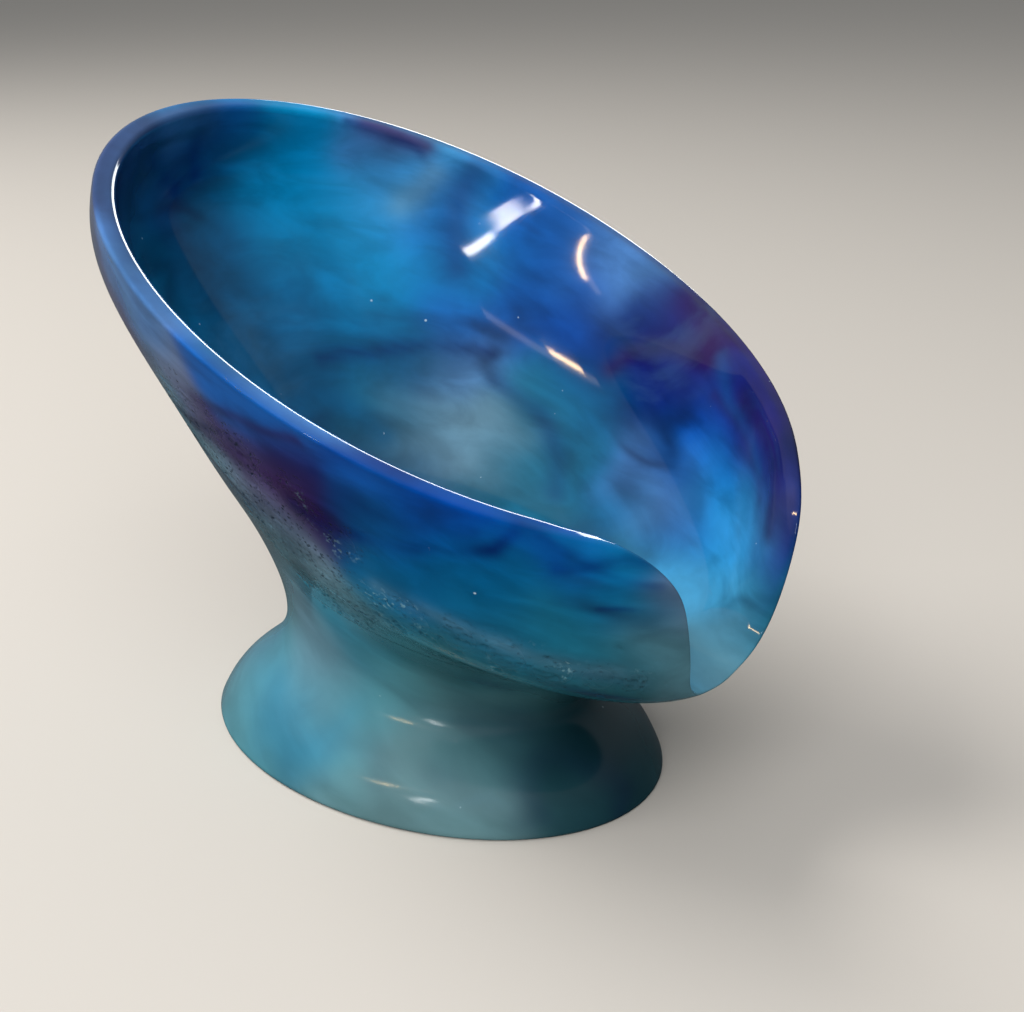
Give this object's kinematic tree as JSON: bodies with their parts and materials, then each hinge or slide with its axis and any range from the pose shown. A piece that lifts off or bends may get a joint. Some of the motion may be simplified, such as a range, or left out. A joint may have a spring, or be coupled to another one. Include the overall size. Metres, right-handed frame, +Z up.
{
  "type": "slotted pedestal bowl",
  "caption": "Oval resin bowl tilted forward on a waisted oval foot, with a wide U-shaped opening in its low front lip; holds or rests small things on a table.",
  "frame": {"origin": "centre of the flat sole of the foot, on the surface it stands on", "axes": "+Z up, +X towards the low front lip with the opening, XZ is the mirror plane"},
  "size_m": [0.1329, 0.1124, 0.1168],
  "materials": {
    "blue_violet_resin": "polished cast resin, blue swirled with violet and teal",
    "milky_teal_resin": "polished cast resin, cloudy teal, with trapped bubbles towards the join"
  },
  "bodies": {
    "root": {"bowl": "blue_violet_resin", "pedestal": "milky_teal_resin"}
  },
  "joints": []
}
